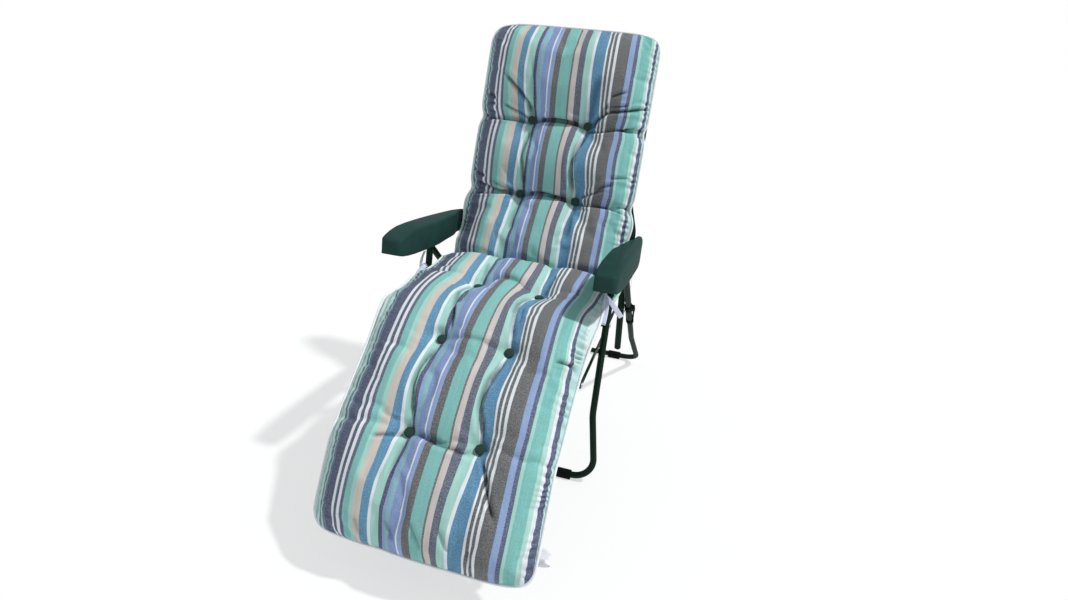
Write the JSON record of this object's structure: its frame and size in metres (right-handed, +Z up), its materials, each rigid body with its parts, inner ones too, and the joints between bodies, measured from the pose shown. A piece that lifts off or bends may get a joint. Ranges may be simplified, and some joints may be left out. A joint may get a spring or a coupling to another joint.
{
  "type": "reclining garden armchair",
  "caption": "Folding reclining garden armchair: tubular steel frame, notched arm rests, linked footrest and one long tufted striped cushion.",
  "frame": {"origin": "on the ground, under the middle of the whole chair's box", "axes": "+X to the viewer's right when facing the chair from its foot end, +Y from the foot end to the head end, +Z up"},
  "size_m": [0.6048, 1.2786, 1.1544],
  "materials": {
    "tube_paint": "dark green powder coat, satin",
    "rack_steel": "zinc plated",
    "pin_steel": "plated rivets and pins",
    "arm_plastic": "moulded, soft sheen",
    "black_plastic": "moulded, matt",
    "cushion_cloth": "woven cotton, lengthwise stripes",
    "sling_cloth": "dark green woven sling",
    "button_cloth": "dark green domed buttons",
    "ribbon_cloth": "pale woven ribbon",
    "tab_cloth": "blank white tape"
  },
  "bodies": {
    "seat": {"seat_side_rails": "tube_paint", "seat_cross_tubes": "tube_paint", "seat_sling": "sling_cloth", "seat_cushion": "cushion_cloth", "seat_buttons": "button_cloth", "cushion_knee_fold": "cushion_cloth", "back_hinge_pins": "pin_steel", "knee_hinge_pins": "pin_steel", "leg_pivot_pins": "pin_steel", "pivot_spacers": "black_plastic"},
    "back": {"back_frame": "tube_paint", "back_cross_tube": "tube_paint", "back_lever_caps": "black_plastic", "back_sling": "sling_cloth", "back_cushion": "cushion_cloth", "back_buttons": "button_cloth", "back_link_pins": "pin_steel", "arm_pivot_pins": "pin_steel", "cushion_ties": "ribbon_cloth"},
    "footrest": {"footrest_frame": "tube_paint", "footrest_knee_plates": "tube_paint", "footrest_rivets": "pin_steel", "footrest_link_pins": "pin_steel", "footrest_sling": "sling_cloth", "footrest_cushion": "cushion_cloth", "footrest_buttons": "button_cloth", "cushion_tab": "tab_cloth"},
    "sync_link_right": {"sync_link_right": "tube_paint"},
    "sync_link_left": {"sync_link_left": "tube_paint"},
    "front_leg": {"front_leg_frame": "tube_paint", "front_leg_feet": "black_plastic"},
    "rear_leg": {"rear_leg_frame": "tube_paint", "rear_leg_feet": "black_plastic", "rear_leg_clips": "black_plastic", "apex_pins": "pin_steel"},
    "arm_right": {"arm_rest_right": "arm_plastic", "arm_rack_right": "rack_steel"},
    "arm_left": {"arm_rest_left": "arm_plastic", "arm_rack_left": "rack_steel"}
  },
  "joints": [
    {"name": "back_recline", "type": "hinge", "parent": "seat", "child": "back", "pos_m": [0, 0.2098, 0.455], "axis": [-1, 0, 0], "range_deg": [-5, 35]},
    {"name": "footrest_tilt", "type": "hinge", "parent": "seat", "child": "footrest", "pos_m": [0, -0.2582, 0.455], "axis": [-1, 0, 0], "range_deg": [-5, 35], "deforming": ["cushion_knee_fold"]},
    {"name": "front_leg_fold", "type": "hinge", "parent": "seat", "child": "front_leg", "pos_m": [0, -0.0382, 0.455], "axis": [-1, 0, 0], "range_deg": [0, 45]},
    {"name": "rear_leg_fold", "type": "hinge", "parent": "front_leg", "child": "rear_leg", "pos_m": [0, -0.0082, 0.606], "axis": [-1, 0, 0], "range_deg": [0, 48.15]},
    {"name": "arm_right_pivot", "type": "hinge", "parent": "back", "child": "arm_right", "pos_m": [0, 0.2554, 0.57695], "axis": [-1, 0, 0], "range_deg": [-28, 4]},
    {"name": "sync_link_right_pivot", "type": "hinge", "parent": "back", "child": "sync_link_right", "pos_m": [0, 0.2342, 0.37881], "axis": [-1, 0, 0], "range_deg": [-35, 5]},
    {"name": "arm_left_pivot", "type": "hinge", "parent": "back", "child": "arm_left", "pos_m": [0, 0.2554, 0.57695], "axis": [-1, 0, 0], "range_deg": [-28, 4]},
    {"name": "sync_link_left_pivot", "type": "hinge", "parent": "back", "child": "sync_link_left", "pos_m": [0, 0.2342, 0.37881], "axis": [-1, 0, 0], "range_deg": [-35, 5]}
  ],
  "couplings": [
    {"joint": "footrest_tilt", "follows": "back_recline", "ratio": 1},
    {"joint": "rear_leg_fold", "follows": "front_leg_fold", "ratio": 1.07},
    {"joint": "arm_right_pivot", "follows": "back_recline", "ratio": -0.8},
    {"joint": "sync_link_right_pivot", "follows": "back_recline", "ratio": -1},
    {"joint": "arm_left_pivot", "follows": "back_recline", "ratio": -0.8},
    {"joint": "sync_link_left_pivot", "follows": "back_recline", "ratio": -1}
  ]
}
